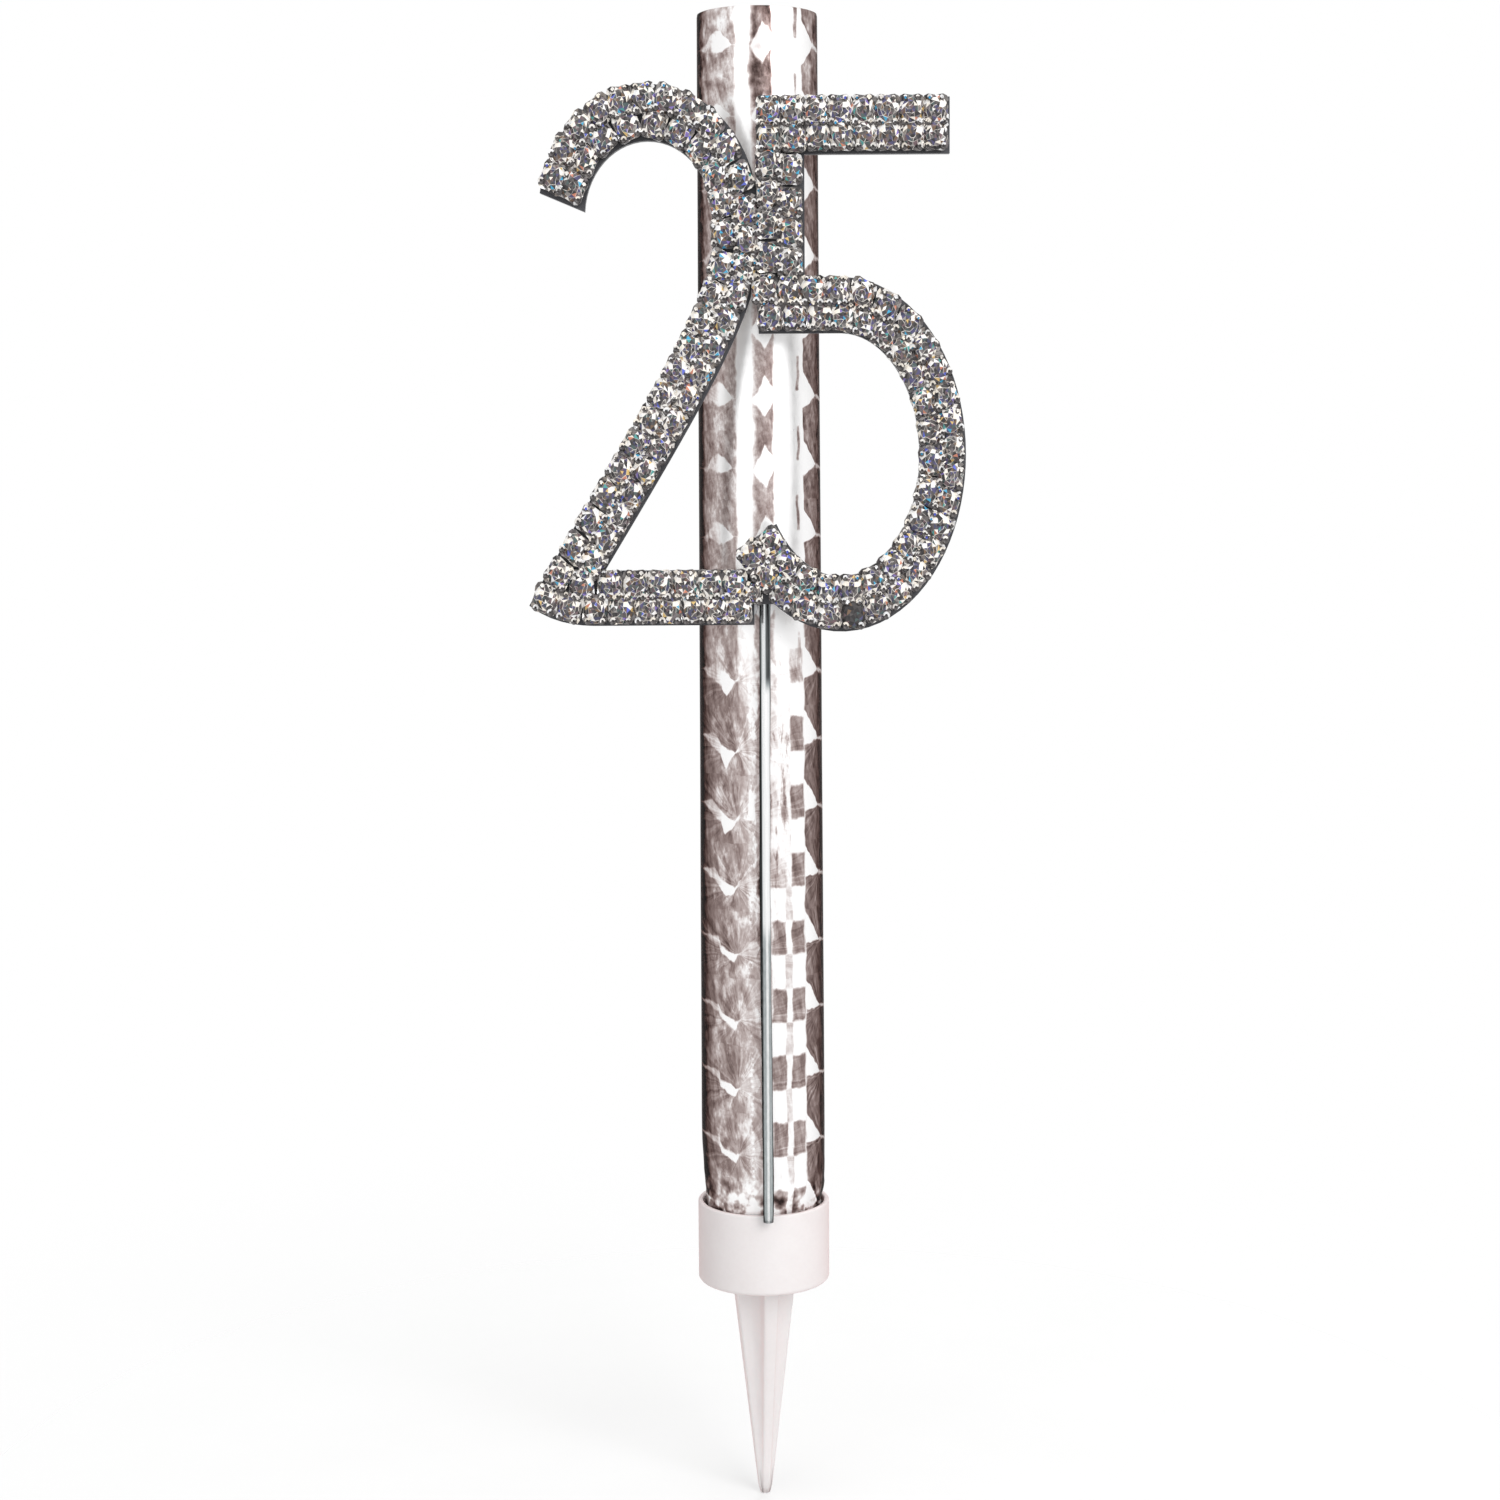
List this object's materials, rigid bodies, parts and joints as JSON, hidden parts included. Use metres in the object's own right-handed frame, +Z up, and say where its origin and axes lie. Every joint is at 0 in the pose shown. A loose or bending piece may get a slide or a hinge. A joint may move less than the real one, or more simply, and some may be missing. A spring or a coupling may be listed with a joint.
{
  "type": "cake fountain sparkler",
  "caption": "Foil-wrapped cake fountain standing in a white plastic cup with a cross-shaped cake spike, with a rhinestone number on a wire stem glued to its front.",
  "frame": {"origin": "centre of the cup's underside, where the cake's top surface is", "axes": "+Z up along the fountain tube; the number faces -Y and reads from left to right along +X"},
  "size_m": [0.0423, 0.0174, 0.1497],
  "materials": {
    "cup_plastic": "satin",
    "tube_paper": "matte",
    "foil": "polished",
    "clay": "matte",
    "charge": "matte",
    "primer": "matte",
    "disc_paper": "matte",
    "wick": "matte",
    "plate_metal": "satin",
    "stem_wire": "polished",
    "solder": "satin",
    "glue": "gloss",
    "stones": "polished"
  },
  "bodies": {
    "holder": {"holder": "cup_plastic"},
    "fountain": {"paper_tube": "tube_paper", "foil_wrap": "foil", "base_plug": "clay", "charge": "charge", "primer": "primer", "top_disc": "disc_paper", "fuse_root": "wick", "number_plate": "plate_metal", "pick_stem": "stem_wire", "stem_solder": "solder", "upper_glue_pad": "glue", "lower_glue_pad": "glue", "five_bar_upper_stones": "stones", "five_bar_lower_stones": "stones", "five_bowl_outer_stones": "stones", "five_bowl_inner_stones": "stones", "five_neck_right_stones": "stones", "five_neck_left_stones": "stones", "two_arc_outer_stones": "stones", "two_arc_inner_stones": "stones", "two_base_lower_stones": "stones", "two_base_upper_stones": "stones", "two_diagonal_right_stones": "stones", "two_diagonal_left_stones": "stones"},
    "fuse": {"fuse_tip": "wick"}
  },
  "joints": [
    {"name": "fountain_pull", "type": "slide", "parent": "holder", "child": "fountain", "axis": [0, 0, 1], "range_m": [0, 0.01]},
    {"name": "fuse_lift", "type": "hinge", "parent": "fountain", "child": "fuse", "pos_m": [-0.0026, 0, 0.1229], "axis": [0, -1, 0], "range_deg": [0, 90]}
  ]
}
